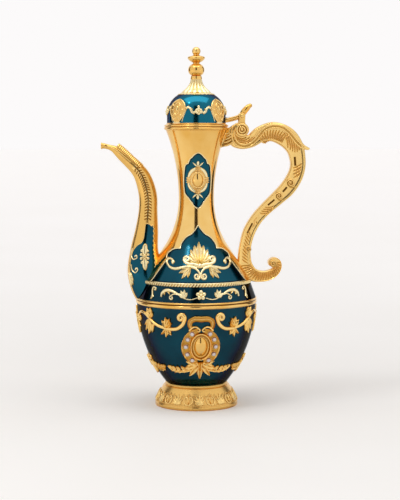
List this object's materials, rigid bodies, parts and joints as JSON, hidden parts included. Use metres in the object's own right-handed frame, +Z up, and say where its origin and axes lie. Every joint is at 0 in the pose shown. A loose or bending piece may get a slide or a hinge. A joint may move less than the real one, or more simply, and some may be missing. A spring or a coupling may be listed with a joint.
{
  "type": "dallah coffee pot",
  "caption": "Tall enamelled metal coffee pot with a bulbous body on a flared foot, narrow neck, S-shaped spout and handle, and a hinged domed lid with a finial.",
  "frame": {"origin": "centre of the foot's bottom rim, on the table", "axes": "+Z up, the spout points towards -X, the handle towards +X, the front towards -Y"},
  "size_m": [0.1651, 0.098, 0.2851],
  "materials": {
    "gold": "polished gold plate",
    "enamel": "glossy enamel",
    "crystal": "faceted",
    "steel": "plain"
  },
  "bodies": {
    "pot": {"band_enamel": "enamel", "belly_bowl": "enamel", "belly_cartouche_back": "gold", "belly_cartouche_front": "gold", "belly_festoon_back": "gold", "belly_festoon_front": "gold", "belly_garland": "gold", "belly_side_sprays": "gold", "cabochon_back": "gold", "cabochon_front": "gold", "crystals_back": "crystal", "crystals_front": "crystal", "foot": "gold", "foot_bolt": "steel", "foot_washer": "steel", "handle": "gold", "handle_screws": "steel", "handle_washers": "steel", "hinge_pin": "steel", "mouth_collar": "gold", "neck_enamel_back": "enamel", "neck_enamel_front": "enamel", "neck_medallion_back": "gold", "neck_medallion_front": "gold", "rope_ring": "gold", "shoulder_enamel_back": "enamel", "shoulder_enamel_front": "enamel", "shoulder_palmette_back": "gold", "shoulder_palmette_front": "gold", "spout": "gold", "upper_shell": "gold", "waist_band": "gold"},
    "lid": {"finial_bell": "gold", "finial_knop": "gold", "finial_nut": "steel", "finial_stud": "steel", "lever_screw": "steel", "lid_dome": "enamel", "lid_lever": "gold", "lid_medallions": "gold", "lid_rim": "gold", "lid_skirt": "gold"}
  },
  "joints": [
    {"name": "lid_hinge", "type": "hinge", "parent": "pot", "child": "lid", "pos_m": [0.0361, 0, 0.2308], "axis": [0, 1, 0], "range_deg": [0, 75]}
  ]
}
